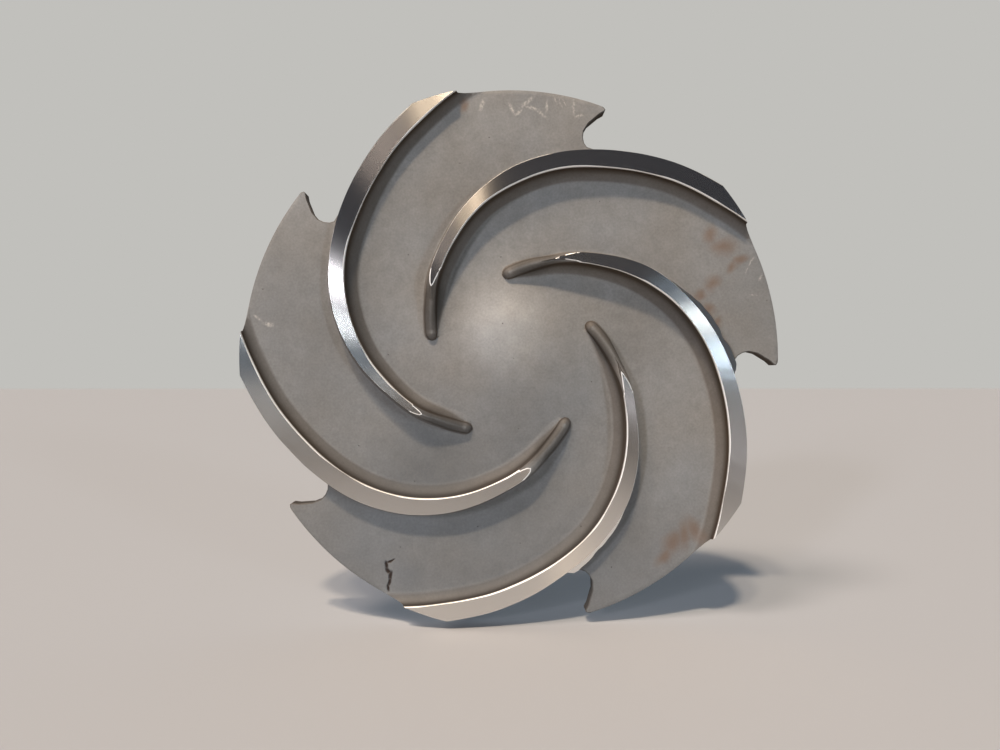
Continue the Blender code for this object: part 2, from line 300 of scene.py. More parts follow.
def half_section(number, angle, side):
    """Points from the crest's edge down one wall, as offset from the vane line and level."""
    middle, outward = vane_frame(angle)
    narrowing = nose_narrowing(angle)
    face = half_width(number, angle, side) * narrowing
    crest = crest_level(number, angle)
    past_end = angle - FACE_TIPS[number] + FACE_TAPERS[number]
    nose_share = min(max(past_end / NOSE_EDGE_SPAN, 0.0), 1.0) ** 2
    edge = OUTER_EDGE if side > 0.0 else INNER_EDGE
    edge = min(edge + (NOSE_EDGE - edge) * nose_share, NOSE_EDGE_SHARE * face)
    top = min(VANE_TOP + FILLET_SINK, crest - FILLET_SINK)
    taken = 0.0
    ground = GROUND_WIDTHS.get(number)
    if ground and side > 0.0 and ground[0][0] < angle < ground[-1][0]:
        taken = smooth_value(ground, angle)
        taken += GROUND_WOBBLE * taken * noise.noise(Vector((angle / GROUND_WOBBLE_SPAN, 0.5, 0.0)))
    half = face + taken
    points = [(face - edge, crest)]
    strips = [LIP if past_end < 0.0 else BLASTED] * EDGE_POINTS
    for index in range(EDGE_POINTS):
        turn = 0.5 * math.pi * index / (EDGE_POINTS - 1)
        points.append((face - edge * (1.0 - math.sin(turn)), top - edge * (1.0 - math.cos(turn))))
    step = GROUND_STEP * min(taken / GROUND_STEP, 1.0)
    points.append((face, top - edge - step - FILLET_SINK))
    points.append((half, top - edge - step - GROUND_SLOPE * taken - 2.0 * FILLET_SINK))
    strips += [BLASTED, GROUND if taken > 0.0 else BLASTED]
    foot = (middle + outward * side * half).length
    height = max(points[-1][1] - floor_level(foot), NOSE_SINK)
    reach, nose_reach = OUTER_FILLETS if side > 0.0 else INNER_FILLETS
    reach = (reach + (nose_reach - reach) * nose_share) * narrowing
    fillet = min(reach, FILLET_SHARE * height)
    wall_foot = half + VANE_DRAFT * (height - fillet)
    level = points[-1][1]
    for index in range(FILLET_POINTS):
        turn = FILLET_END * index / (FILLET_POINTS - 1)
        offset = wall_foot + reach * (1.0 - math.cos(turn)) / (1.0 - math.cos(FILLET_END))
        lift = fillet * (1.0 - math.sin(turn) / math.sin(FILLET_END)) - FILLET_SINK * turn
        radius = (middle + outward * side * offset).length
        level = min(floor_level(radius) + lift, level - FILLET_SINK)
        points.append((offset, level))
    points.append((half + ROOT_SHARE * (points[-1][0] - half), level - ROOT_DEPTH))
    strips += [BLASTED] * (len(points) - 1 - len(strips))
    corners = []
    for offset, level in points:
        corner = middle + outward * side * offset
        corner.z = level
        corners.append(corner)
    return corners, strips


def cross_section(number, angle):
    """Closed ring of a vane's cross-section and the finish of each strip between its corners."""
    outer, outer_strips = half_section(number, angle, 1.0)
    inner, inner_strips = half_section(number, angle, -1.0)
    crown = nose_fall(number, FACE_TIPS[number])    # the arch that ends the face at its tip
    crown *= 1.0 - min(max((angle - FACE_TIPS[number]) / CROWN_FADE, 0.0), 1.0)
    crest = []
    for index in range(1, CROWN_POINTS + 1):
        share = index / (CROWN_POINTS + 1)
        corner = inner[0].lerp(outer[0], share)
        corner.z += crown * 4.0 * share * (1.0 - share)
        crest.append(corner)
    strips = [BLASTED] * CROWN_POINTS + outer_strips + [BLASTED] + inner_strips[::-1] + [BLASTED]
    return crest + outer + inner[::-1], strips


def lofted(sections):
    """Bmesh of a closed body through rings with as many corners and their strips' finishes."""
    shape = bmesh.new()
    spot = shape.verts.layers.int.new("spot")
    earlier = None
    for ring, strips in sections:
        corners = [shape.verts.new(point) for point in ring]
        for index, corner in enumerate(corners):
            corner[spot] = index
        loop = [shape.edges.new(pair) for pair in zip(corners, corners[1:] + corners[:1])]
        if earlier:
            bridge = bmesh.ops.bridge_loops(shape, edges=earlier + loop)
            for face in bridge["faces"]:
                spots = {corner[spot] for corner in face.verts}
                wraps = 0 in spots and len(corners) - 1 in spots
                face.material_index = strips[-1 if wraps else min(spots)]
        else:
            shape.faces.new(corners)
        earlier = loop
    shape.faces.new(corners)
    return shape


def plain(ring):
    """A ring whose strips all stay as cast."""
    return ring, [BLASTED] * len(ring)


def station_angles():
    """Angles of the cross-sections, closer together where the nose rounds off."""
    angles = stepped(VANE_START, NOSE_END - NOSE_ROUND, ALONG_STEP)
    rounded = []
    for index in range(1, FILLET_POINTS):
        turn = 0.5 * math.pi * index / FILLET_POINTS
        rounded.append(NOSE_END - NOSE_ROUND + NOSE_ROUND * math.sin(turn))
    return angles + rounded


def joined(body, other, operation):
    """Boolean of the body with the other shape, which is then removed."""
    cut = body.modifiers.new(other.name, 'BOOLEAN')
    cut.operation = operation
    cut.object = other
    cut.solver = 'EXACT'
    bpy.context.view_layer.update()
    mesh = bpy.data.meshes.new_from_object(
        body.evaluated_get(bpy.context.evaluated_depsgraph_get()))
    body.modifiers.clear()
    body.data = mesh
    bpy.data.objects.remove(other)


for number in range(VANE_COUNT):
    sections = [cross_section(number, angle) for angle in station_angles()]
    shape = lofted(sections)
    place = FIRST_TIP_ANGLE + PITCH * number + VANE_TURNS[number]
    bmesh.ops.rotate(shape, verts=shape.verts, cent=(0.0, 0.0, 0.0),
                     matrix=Matrix.Rotation(math.radians(place), 3, 'Z'))
    joined(casting, piece_of("vane", shape), 'UNION')


# Back ribs
# Five low ribs on the back of the shroud, cast with it, keep liquid and grit moving
# outward behind the wheel.
RIB_TURN = -21.0                    # degrees from the vane on the front
RIB_HEIGHT = 3.0 * MM
RIB_THICKNESS = 5.0 * MM
RIB_EDGE = 0.8 * MM
RIB_FILLET = 1.6 * MM
RIB_DRAFT = 0.12
RIB_START = -16.0
RIB_END = 96.0
RIB_STEP = 2.0
RIB_POINTS = 5


def rib_section(angle):
    """Closed ring of a rib's cross-section, hanging below the back of the shroud."""
    middle, outward = vane_frame(angle)
    half = 0.5 * RIB_THICKNESS
    foot = half + RIB_DRAFT * (RIB_HEIGHT - RIB_FILLET)
    crest = SHROUD_BACK - RIB_HEIGHT
    profile = []
    for index in range(RIB_POINTS):
        turn = 0.5 * math.pi * index / (RIB_POINTS - 1)
        profile.append((half - RIB_EDGE * (1.0 - math.sin(turn)),
                        crest + RIB_EDGE * (1.0 - math.cos(turn))))
    for index in range(RIB_POINTS):
        turn = 0.5 * math.pi * index / (RIB_POINTS - 1)
        profile.append((foot + RIB_FILLET * (1.0 - math.cos(turn)),
                        SHROUD_BACK - RIB_FILLET * (1.0 - math.sin(turn)) + FILLET_SINK * turn))
    profile.append((half, SHROUD_BACK + ROOT_DEPTH))
    ring = []
    for side in (1.0, -1.0):
        corners = [middle + outward * side * offset + Vector((0.0, 0.0, level))
                   for offset, level in profile]
        ring += corners if side > 0.0 else corners[::-1]
    return ring


for number in range(VANE_COUNT):
    shape = lofted([plain(rib_section(angle)) for angle in stepped(RIB_START, RIB_END, RIB_STEP)])
    place = FIRST_TIP_ANGLE + PITCH * number + RIB_TURN
    bmesh.ops.rotate(shape, verts=shape.verts, cent=(0.0, 0.0, 0.0),
                     matrix=Matrix.Rotation(math.radians(place), 3, 'Z'))
    joined(casting, piece_of("back_rib", shape), 'UNION')


# Cast surface
# Sand, pattern draft and fettling leave the skin of the casting slightly wavy. The tools
# cut through that skin later, so their faces and edges show it in outline only.
WAVES = ((26.0 * MM, 0.16 * MM), (9.0 * MM, 0.06 * MM))     # length and height
WAVE_SEED = Vector((3.7, 1.9, 5.3))

shape = bmesh.new()
shape.from_mesh(casting.data)
for corner in shape.verts:
    shift = [height * noise.noise_vector(corner.co / length + WAVE_SEED) for length, height in WAVES]
    corner.co += sum(shift, Vector())
shape.to_mesh(casting.data)
shape.free()


# Turned rim, vane faces and hub face
# On the lathe the rim is turned to 203.2 mm, the vane tops are faced flat in the same
# setting, and the hub's end is faced. It leaves bright steel with a fine concentric lay.
OUTER_RADIUS = 101.6 * MM
END_LIP = 0.2 * MM                  # lip round the end of each turned face
RIM_EDGE = 0.2 * MM
SHORT_EDGE = 0.03 * MM              # edges shorter than this are merged before an edge is eased
END_STEEPNESS = 0.6                 # least part of a face's normal along the shaft


def painted(shape, finish):
    """The same bmesh with all its faces in one finish."""
    for face in shape.faces:
        face.material_index = finish
    return shape


blank = painted(spun([
    (0.0, VANE_TOP),
    (OUTER_RADIUS, VANE_TOP),
    (OUTER_RADIUS, 0.0),
    (0.0, 0.0),
]), FACED)
joined(casting, piece_of("turning_blank", blank), 'INTERSECT')



def eased(shape, chosen, width, finish):
    """Rounds off the bmesh edges between cast and turned faces that the test chooses."""
    bmesh.ops.dissolve_degenerate(shape, dist=SHORT_EDGE, edges=shape.edges)
    shape.normal_update()
    edges = []
    for edge in shape.edges:
        beside = {face.material_index: face for face in edge.link_faces}
        if set(beside) == {BLASTED, FACED} and chosen(edge, beside[BLASTED], beside[FACED]):
            edges.append(edge)
    bmesh.ops.bevel(shape, geom=edges, offset=width, offset_type='OFFSET', segments=2, profile=0.5,
                    affect='EDGES', clamp_overlap=False, material=finish)
    shape.normal_update()


def at_face_end(edge, cast, turned):
    """Whether an edge bounds a turned vane face where the cast nose slopes away from it."""
    return turned.normal.z > END_STEEPNESS and cast.normal.z > END_STEEPNESS


def at_front_rim(edge, cast, turned):
    """Whether an edge lies between the shroud's front and the turned rim."""
    return abs(turned.normal.z) < END_STEEPNESS and cast.normal.z > END_STEEPNESS


shape = bmesh.new()
shape.from_mesh(casting.data)
shape.normal_update()
eased(shape, at_face_end, END_LIP, LIP)
shape.to_mesh(casting.data)
shape.free()


# Scallops
# The shroud is cut back between each vane's outer wall and a pointed horn, as cast,
# with its edges dulled by blasting.
NOTCH_WALL_GAP = 1.1 * MM           # outside the vane's top edge
NOTCH_WALL_START = -14.0
NOTCH_WALL_END = 27.0
NOTCH_WALL_STEP = 2.0
NOTCH_ROUND = (
    (31.2, 85.2 * MM),
    (32.2, 86.3 * MM),
    (32.9, 88.1 * MM),
    (33.2, 90.5 * MM),
    (32.7, 93.7 * MM),
    (31.0, 98.4 * MM),
)
NOTCH_HORN = (                      # the horn's tip is dulled where it meets the rim
    (30.1, 100.2 * MM),
    (30.1, 101.0 * MM),
    (30.6, 101.5 * MM),
    (31.6, 102.0 * MM),
    (31.6, 114.0 * MM),
)
HORN_TURNS = (0.0, 0.0, 0.0, -0.65, 0.0)    # degrees that each vane's horn is longer by
NOTCH_BEVEL = 0.35 * MM
CUTTER_REACH = 5.0 * MM


def notch_outline(number):
    """Scallop: along a vane's outer wall, round the bottom and out along the horn."""
    outline = []
    for angle in stepped(NOTCH_WALL_START, NOTCH_WALL_END, NOTCH_WALL_STEP):
        middle, outward = vane_frame(angle)
        outline.append(middle + outward * (half_width(number, angle, 1.0) + NOTCH_WALL_GAP))
    for angle, radius in NOTCH_ROUND + NOTCH_HORN:
        toward_rim = (radius - NOTCH_ROUND[0][1]) / (OUTER_RADIUS - NOTCH_ROUND[0][1])
        outline.append(on_wheel(angle + HORN_TURNS[number] * toward_rim, radius))
    return outline


def notch_levels(point):
    """Levels of a scallop's cutter at a point, with how far each ring is grown."""
    top = floor_level(min(point.length, OUTER_RADIUS))
    return (
        (SHROUD_BACK - RIB_HEIGHT - CUTTER_REACH, NOTCH_BEVEL),
        (SHROUD_BACK - FILLET_SINK, NOTCH_BEVEL),
        (SHROUD_BACK + NOTCH_BEVEL, 0.0),
        (top - NOTCH_BEVEL, 0.0),
        (top + FILLET_SINK, NOTCH_BEVEL),
        (VANE_TOP + CUTTER_REACH, NOTCH_BEVEL),
    )


def grown(outline, index, distance):
    """A point of the outline, moved out of the scallop square to the line."""
    before = outline[max(index - 1, 0)]
    after = outline[min(index + 1, len(outline) - 1)]
    along = (after - before).normalized()
    return outline[index] + Vector((-along.y, along.x, 0.0)) * distance


def notch_cutter(number):
    """Bmesh of the cutter: its two bevels open towards the front and the back."""
    outline = notch_outline(number)
    rings = []
    for step in range(len(notch_levels(outline[0]))):
        ring = []
        for index, spot in enumerate(outline):
            level, distance = notch_levels(spot)[step]
            point = grown(outline, index, distance)
            point.z = level
            ring.append(point)
        rings.append(plain(ring))
    return lofted(rings)


for number in range(VANE_COUNT):
    shape = notch_cutter(number)
    place = FIRST_TIP_ANGLE + PITCH * number + VANE_TURNS[number]
    bmesh.ops.rotate(shape, verts=shape.verts, cent=(0.0, 0.0, 0.0),
                     matrix=Matrix.Rotation(math.radians(place), 3, 'Z'))
    joined(casting, piece_of("scallop", shape), 'DIFFERENCE')

shape = bmesh.new()
shape.from_mesh(casting.data)
shape.normal_update()
eased(shape, at_front_rim, RIM_EDGE, BLASTED)
shape.to_mesh(casting.data)
shape.free()


# Shaft bore
# A blind bore from the back, drilled, counterbored and threaded for the shaft's end.
BORE_RADIUS = 12.7 * MM
BORE_DEPTH = 24.0 * MM
BORE_CONE = 4.0 * MM
COUNTERBORE_RADIUS = 15.5 * MM
COUNTERBORE_DEPTH = 4.0 * MM
BORE_CHAMFER = 0.6 * MM
THREAD_PITCH = 2.0 * MM
THREAD_DEPTH = 0.9 * MM
THREAD_ROOT = 0.3 * MM              # how far the ridge's foot lies inside the metal
THREAD_CREST = 0.25 * MM            # flat on its crest
THREAD_FACETS = 72                  # a turn
THREAD_START = 6.5 * MM
THREAD_TURNS = 7

bore = painted(spun([
    (0.0, BORE_DEPTH + BORE_CONE),
    (BORE_RADIUS, BORE_DEPTH),
    (BORE_RADIUS, COUNTERBORE_DEPTH + BORE_CHAMFER),
    (BORE_RADIUS + BORE_CHAMFER, COUNTERBORE_DEPTH),
    (COUNTERBORE_RADIUS, COUNTERBORE_DEPTH),
    (COUNTERBORE_RADIUS, BORE_CHAMFER),
    (COUNTERBORE_RADIUS + BORE_CHAMFER, 0.0),
    (COUNTERBORE_RADIUS + BORE_CHAMFER, -CUTTER_REACH),
    (0.0, -CUTTER_REACH),
]), FACED)
joined(casting, piece_of("shaft_bore", bore), 'DIFFERENCE')

ridge = bmesh.new()
half_root = 0.5 * THREAD_PITCH - 0.5 * THREAD_CREST
corners = [ridge.verts.new((radius, 0.0, THREAD_START + level)) for radius, level in (
    (BORE_RADIUS + THREAD_ROOT, -half_root),
    (BORE_RADIUS - THREAD_DEPTH, -0.5 * THREAD_CREST),
    (BORE_RADIUS - THREAD_DEPTH, 0.5 * THREAD_CREST),
    (BORE_RADIUS + THREAD_ROOT, half_root),
)]
start = ridge.faces.new(corners)
spin = bmesh.ops.spin(ridge, geom=[start] + list(start.edges) + corners, axis=(0.0, 0.0, 1.0),
                      cent=(0.0, 0.0, 0.0), steps=THREAD_FACETS * THREAD_TURNS,
                      angle=2.0 * math.pi * THREAD_TURNS,
                      dvec=(0.0, 0.0, THREAD_PITCH / THREAD_FACETS))
thread = piece_of("shaft_thread", painted(ridge, FACED))


# Stood up
# Smooth as-cast faces, sharp edges where a tool has cut, and the shaft axis along Y.
SMOOTH_ANGLE = 32.0
FLATNESS = 0.999
for piece in (casting, thread):
    piece.data.shade_smooth()
    piece.data.set_sharp_from_angle(angle=math.radians(SMOOTH_ANGLE))
    for face in piece.data.polygons:
        if face.material_index == FACED and abs(face.normal.z) > FLATNESS:
            face.use_smooth = False     # a faced surface is flat right up to its edges
    piece.data.transform(Matrix.Rotation(math.radians(90.0), 4, 'X'))
    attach(piece, "root")
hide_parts("impeller_casting")


def linear(hex_colour):
    """Linear colour of an sRGB hex value such as #8C8279."""
    parts = [int(hex_colour[start:start + 2], 16) / 255.0 for start in (1, 3, 5)]
    return tuple(part / 12.92 if part <= 0.04045 else ((part + 0.055) / 1.055) ** 2.4
                 for part in parts) + (1.0,)


def node(tree, kind, inputs=(), **settings):
    """Adds a node, sets its settings, and links or sets each of its named inputs."""
    made = tree.nodes.new(kind)
    for name, value in settings.items():
        setattr(made, name, value)
    for name, value in dict(inputs).items():
        if isinstance(value, bpy.types.NodeSocket):
            tree.links.new(value, made.inputs[name])
        else:
            made.inputs[name].default_value = value
    return made


# Faced stainless
# Stainless steel faced and turned on a lathe: bright metal whose fine concentric lay
# spreads each reflection outward from the shaft and keeps it narrow along the cut.
LAY_PITCH = 0.5 * MM                # coarser than the tool's feed, so that it shows
faced = finishes[FACED]
faced.use_nodes = True
tree = faced.node_tree
place = node(tree, 'ShaderNodeTexCoord').outputs["Object"]
surface = node(tree, 'ShaderNodeNewGeometry').outputs["Normal"]
lay = node(tree, 'ShaderNodeVectorMath', {0: (0.0, 1.0, 0.0), 1: place}, operation='CROSS_PRODUCT')
lay_way = node(tree, 'ShaderNodeVectorMath', {0: lay.outputs[0]}, operation='NORMALIZE')
spread = node(tree, 'ShaderNodeVectorMath', {0: lay_way.outputs[0], 1: surface},
              operation='CROSS_PRODUCT')
shader = tree.nodes["Principled BSDF"]
shader.inputs["Base Color"].default_value = linear("#ECEAE7")
shader.inputs["Metallic"].default_value = 1.0
shader.inputs["Roughness"].default_value = 0.21
shader.inputs["Anisotropic"].default_value = 1.0
tree.links.new(spread.outputs[0], shader.inputs["Tangent"])

# Blasted cast stainless
# The skin of a stainless sand casting after shot-blasting: dull grey metal, slightly
# warm and cloudy, with a fine grain, a brown film and painted shade on the vane walls,
# a few rust stains, painted shade on the noses and towards the bottom, and a painted
# highlight on the crown of the dome.
CLOUD = 34.0 * MM                   # size of the cloudy patches
MOTTLE = 5.0 * MM
GRAIN = 0.8 * MM                    # coarser than the shot's dimples, so that it shows
PIT_SPACING = 7.0 * MM
PIT_RADIUS = 0.28 * MM
MOTTLE_HEIGHT = 0.015 * MM
GRAIN_HEIGHT = 0.008 * MM
CRACK_DEPTH = 0.5 * MM
STAIN_WOBBLE = 4.0 * MM
FLOOR_Y = -(SHROUD_BACK + RIM_THICKNESS)    # front surface near the rim, stood up
NOSE_SHADE = (                            # painted shade on and round the noses, as the marks below
    (-30.4, 20.6, 14.0, 5.0, 85.0), (7.9, 35.4, 12.5, 5.0, 17.0), (35.3, 4.2, 12.5, 5.0, -53.0),
    (13.3, -33.4, 13.0, 5.0, 53.0), (-26.6, -23.1, 12.5, 5.0, -22.0),
)
NOSE_SHADE_DARK = 0.3
DOME_HIGHLIGHT = (-2.0, 11.0, 24.0)            # crown of the dome: painted highlight, lighter in colour and less rough: across, up, radius
DOME_HIGHLIGHT_LIGHT = 0.2
DOME_HIGHLIGHT_GLOSS = 0.2
SHADE_PATCHES = (                            # painted shade in grey-blue, mostly towards the bottom: across, up, radius in millimetres, share
    (0.0, -85.0, 110.0, 0.40),
    (-34.0, -42.0, 28.0, 0.26),
    (-39.0, -83.0, 9.0, 0.12),
    (-66.0, -70.0, 45.0, 0.20),
    (-70.0, -5.0, 60.0, 0.20),
    (52.0, -77.0, 40.0, 0.10),
    (50.0, 8.0, 26.0, 0.16),
    (90.0, 25.0, 40.0, 0.12),
    (-92.0, 28.0, 40.0, 0.12),
    (8.0, 97.0, 12.0, 0.15),
)
MARK_REACH = 30.0 * MM              # how deep a mark goes, square to the front surface
# Marks on the front surface: across, up, half length, half width in millimetres, and turn
RUST = (
    (75.6, 47.0, 6.0, 4.0, 70.0), (80.5, 42.6, 8.0, 5.0, 0.0), (87.0, 37.5, 5.0, 2.6, 20.0),
    (84.0, 34.8, 4.6, 2.4, 65.0), (76.7, 28.5, 6.0, 4.0, 50.0), (71.8, 24.0, 4.0, 3.2, 30.0),
    (75.6, 19.0, 4.4, 3.2, 120.0), (79.0, 13.5, 3.4, 2.6, 90.0), (69.3, -65.7, 8.0, 4.4, 118.0),
    (65.4, -67.5, 9.0, 4.4, 80.0), (61.0, -70.8, 8.0, 5.4, 60.0), (58.0, -75.7, 6.5, 3.6, 50.0),
    (-18.5, 95.5, 4.0, 2.5, 60.0),
)
SCRATCHES = (
    (-0.4, 94.4, 4.2, 1.0, -64.0), (2.2, 93.2, 2.6, 0.9, 48.0), (5.4, 97.2, 5.0, 1.1, 40.0),
    (7.0, 95.0, 4.4, 1.0, -17.0), (10.6, 93.0, 3.6, 1.0, -41.0), (12.8, 95.4, 3.6, 0.8, 87.0),
    (16.2, 97.9, 2.2, 0.4, -65.0), (17.9, 97.2, 2.8, 0.4, -68.0), (19.6, 97.0, 2.0, 0.35, -67.0),
    (23.1, 94.8, 4.4, 0.8, 90.0), (25.2, 92.0, 2.8, 0.7, 12.0), (-11.8, 96.0, 4.0, 1.3, 71.0),
    (91.2, 36.4, 3.2, 0.6, 62.0), (89.6, 33.4, 2.0, 0.45, 70.0), (94.9, 30.4, 2.0, 0.8, 60.0),
    (92.4, 23.9, 2.6, 0.3, 0.0), (-96.5, 14.8, 2.6, 0.8, -35.0), (-92.4, 12.4, 3.0, 1.2, -10.0),
)
CRACK = (
    (-46.3, -77.2, 2.2, 0.55, 28.0), (-47.9, -78.8, 2.2, 0.85, -78.0), (-47.3, -80.8, 2.2, 0.95, -50.0),
    (-46.4, -82.6, 2.4, 0.95, 82.0), (-46.8, -85.0, 2.6, 0.85, 76.0), (-47.3, -87.2, 2.0, 0.6, -80.0),
)

blasted = finishes[BLASTED]
blasted.use_nodes = True
tree = blasted.node_tree
place = node(tree, 'ShaderNodeTexCoord').outputs["Object"]
cloud = node(tree, 'ShaderNodeTexNoise', {"Vector": place, "Scale": 1.0 / CLOUD, "Detail": 3.0})
mottle = node(tree, 'ShaderNodeTexNoise', {"Vector": place, "Scale": 1.0 / MOTTLE, "Detail": 4.0,
                                           "Roughness": 0.6})
grain = node(tree, 'ShaderNodeTexNoise', {"Vector": place, "Scale": 1.0 / GRAIN, "Detail": 2.0})
cell = node(tree, 'ShaderNodeTexVoronoi', {"Vector": place, "Scale": 1.0 / PIT_SPACING})
pit = node(tree, 'ShaderNodeMapRange', {"Value": cell.outputs["Distance"],
                                        "From Min": 0.4 * PIT_RADIUS / PIT_SPACING,
                                        "From Max": PIT_RADIUS / PIT_SPACING,
                                        "To Min": 0.6, "To Max": 0.0}, interpolation_type='SMOOTHSTEP')
warm = node(tree, 'ShaderNodeMix', {0: cloud.outputs["Fac"], 6: linear("#9DA0A3"), 7: linear("#A39F99")},
            data_type='RGBA')
spread = node(tree, 'ShaderNodeMapRange', {"Value": mottle.outputs["Fac"], "From Min": 0.3,
                                           "From Max": 0.7, "To Min": 0.93, "To Max": 1.05})
speck = node(tree, 'ShaderNodeMapRange', {"Value": grain.outputs["Fac"], "From Min": 0.3,
                                          "From Max": 0.7, "To Min": 0.93, "To Max": 1.07})
tone = node(tree, 'ShaderNodeMath', {0: spread.outputs[0], 1: speck.outputs[0]}, operation='MULTIPLY')
skin = node(tree, 'ShaderNodeVectorMath', {0: warm.outputs[2], "Scale": tone.outputs[0]},
            operation='SCALE')

# Brown film and painted shade on the walls and slopes, by how far they turn from the front.
facing = node(tree, 'ShaderNodeSeparateXYZ',
              {0: node(tree, 'ShaderNodeNewGeometry').outputs["Normal"]}).outputs["Y"]
turned_away = node(tree, 'ShaderNodeMath', {0: facing}, operation='ABSOLUTE').outputs[0]
wall_film_and_shade = node(tree, 'ShaderNodeMapRange', {"Value": turned_away, "From Min": 0.15, "From Max": 0.7,
                                             "To Min": 0.45, "To Max": 0.0})
slope_film_and_shade = node(tree, 'ShaderNodeMapRange', {"Value": turned_away, "From Min": 0.93,
                                              "From Max": 0.985, "To Min": 0.45, "To Max": 0.0})
film_and_shade = node(tree, 'ShaderNodeMath', {0: wall_film_and_shade.outputs[0], 1: slope_film_and_shade.outputs[0]})
filmed_and_shaded = node(tree, 'ShaderNodeMix', {0: film_and_shade.outputs[0], 6: skin.outputs[0], 7: linear("#5C4E40")},
              data_type='RGBA')



def patch(tree, place, across, up, radius):
    """Socket that is 1 at a soft round patch's centre on the front and 0 from its radius on."""
    own = node(tree, 'ShaderNodeMapping', {
        "Vector": place,
        "Location": (across * MM, FLOOR_Y, up * MM),
        "Scale": (radius * MM, MARK_REACH, radius * MM),
    }, vector_type='TEXTURE')
    away = node(tree, 'ShaderNodeVectorMath', {0: own.outputs[0]}, operation='LENGTH')
    return node(tree, 'ShaderNodeMapRange', {"Value": away.outputs["Value"], "To Min": 1.0,
                                             "To Max": 0.0}, interpolation_type='SMOOTHSTEP').outputs[0]


# Painted highlight: the crown of the dome is lighter in colour, and further on also lower in roughness.
dome_highlight = patch(tree, place, *DOME_HIGHLIGHT)
light_and_shade = node(tree, 'ShaderNodeMath', {0: dome_highlight, 1: DOME_HIGHLIGHT_LIGHT, 2: 1.0}, operation='MULTIPLY_ADD')
# Painted shade: grey-blue darkening in soft patches, strongest towards the bottom.
painted_shade = 0.0
for across, up, radius, share in SHADE_PATCHES:
    painted_shade = node(tree, 'ShaderNodeMath', {0: patch(tree, place, across, up, radius), 1: share,
                                           2: painted_shade}, operation='MULTIPLY_ADD').outputs[0]
def nearness(tree, place, marks):
    """Socket with the distance to the nearest mark, which is 1 on each mark's outline."""
    nearest = 10.0
    for across, up, half_length, half_width, turn in marks:
        own = node(tree, 'ShaderNodeMapping', {
            "Vector": place,
            "Location": (across * MM, FLOOR_Y, up * MM),
            "Rotation": (0.0, math.radians(-turn), 0.0),
            "Scale": (half_length * MM, MARK_REACH, half_width * MM),
        }, vector_type='TEXTURE')
        away = node(tree, 'ShaderNodeVectorMath', {0: own.outputs[0]}, operation='LENGTH')
        nearest = node(tree, 'ShaderNodeMath', {0: nearest, 1: away.outputs["Value"]},
                       operation='MINIMUM').outputs[0]
    return nearest


def fading(tree, nearest, solid, value):
    """Socket that falls from a value, within the solid share of a mark, to 0 on its outline."""
    return node(tree, 'ShaderNodeMapRange', {"Value": nearest, "From Min": solid, "From Max": 1.0,
                                             "To Min": value, "To Max": 0.0},
                interpolation_type='SMOOTHSTEP').outputs[0]


# Painted shade: the noses and the floor round their feet are darker.
nose_shade = fading(tree, nearness(tree, place, NOSE_SHADE), 0.4, NOSE_SHADE_DARK)
light_and_shade = node(tree, 'ShaderNodeMath', {0: light_and_shade.outputs[0], 1: nose_shade}, operation='SUBTRACT')
# The painted grey-blue shade, mixed into the skin.
shaded_skin = node(tree, 'ShaderNodeMix', {0: painted_shade, 6: filmed_and_shaded.outputs[2], 7: linear("#666F78")},
                data_type='RGBA')
shown = node(tree, 'ShaderNodeVectorMath', {0: shaded_skin.outputs[2], "Scale": light_and_shade.outputs[0]},
             operation='SCALE')

shift = node(tree, 'ShaderNodeVectorMath', {0: mottle.outputs["Color"], 1: (-0.5, -0.5, -0.5)})
wobble = node(tree, 'ShaderNodeVectorMath', {0: shift.outputs[0], "Scale": STAIN_WOBBLE},
              operation='SCALE')
unsteady = node(tree, 'ShaderNodeVectorMath', {0: place, 1: wobble.outputs[0]}).outputs[0]


stain = fading(tree, nearness(tree, unsteady, RUST), 0.0, 0.55)
rusted = node(tree, 'ShaderNodeMix', {0: stain, 6: shown.outputs[0], 7: linear("#8A6D56")},
              data_type='RGBA')
jitter = node(tree, 'ShaderNodeTexNoise', {"Vector": place, "Scale": 1.0 / (2.0 * MM), "Detail": 2.0})
jolt = node(tree, 'ShaderNodeVectorMath', {0: jitter.outputs["Color"], 1: (-0.5, -0.5, -0.5)})
jolted = node(tree, 'ShaderNodeVectorMath', {0: jolt.outputs[0], "Scale": 0.9 * MM}, operation='SCALE')
rough_place = node(tree, 'ShaderNodeVectorMath', {0: place, 1: jolted.outputs[0]}).outputs[0]
scratch = fading(tree, nearness(tree, rough_place, SCRATCHES), 0.0, 1.0)
crack = fading(tree, nearness(tree, rough_place, CRACK), 0.3, 0.9)
height = node(tree, 'ShaderNodeSeparateXYZ', {0: place}).outputs["Y"]
in_front = node(tree, 'ShaderNodeMath', {0: height, 1: -SHROUD_BACK - 0.5 * RIM_THICKNESS},
                operation='LESS_THAN').outputs[0]
broken = node(tree, 'ShaderNodeMapRange', {"Value": grain.outputs["Fac"], "From Min": 0.35,
                                           "From Max": 0.65, "To Min": 0.1, "To Max": 0.75})
light_mark = node(tree, 'ShaderNodeMath', {0: scratch, 1: in_front}, operation='MULTIPLY')
light_mark = node(tree, 'ShaderNodeMath', {0: light_mark.outputs[0], 1: broken.outputs[0]},
                  operation='MULTIPLY')
dark_mark = node(tree, 'ShaderNodeMath', {0: crack, 1: in_front}, operation='MULTIPLY')
dark_mark = node(tree, 'ShaderNodeMath', {0: dark_mark.outputs[0], 1: pit.outputs[0]},
                 operation='MAXIMUM')
scratched = node(tree, 'ShaderNodeMix', {0: light_mark.outputs[0], 6: rusted.outputs[2],
                                         7: linear("#DCD8D2")}, data_type='RGBA')
marked = node(tree, 'ShaderNodeMix', {0: dark_mark.outputs[0], 6: scratched.outputs[2],
                                      7: linear("#3A2D26")}, data_type='RGBA')

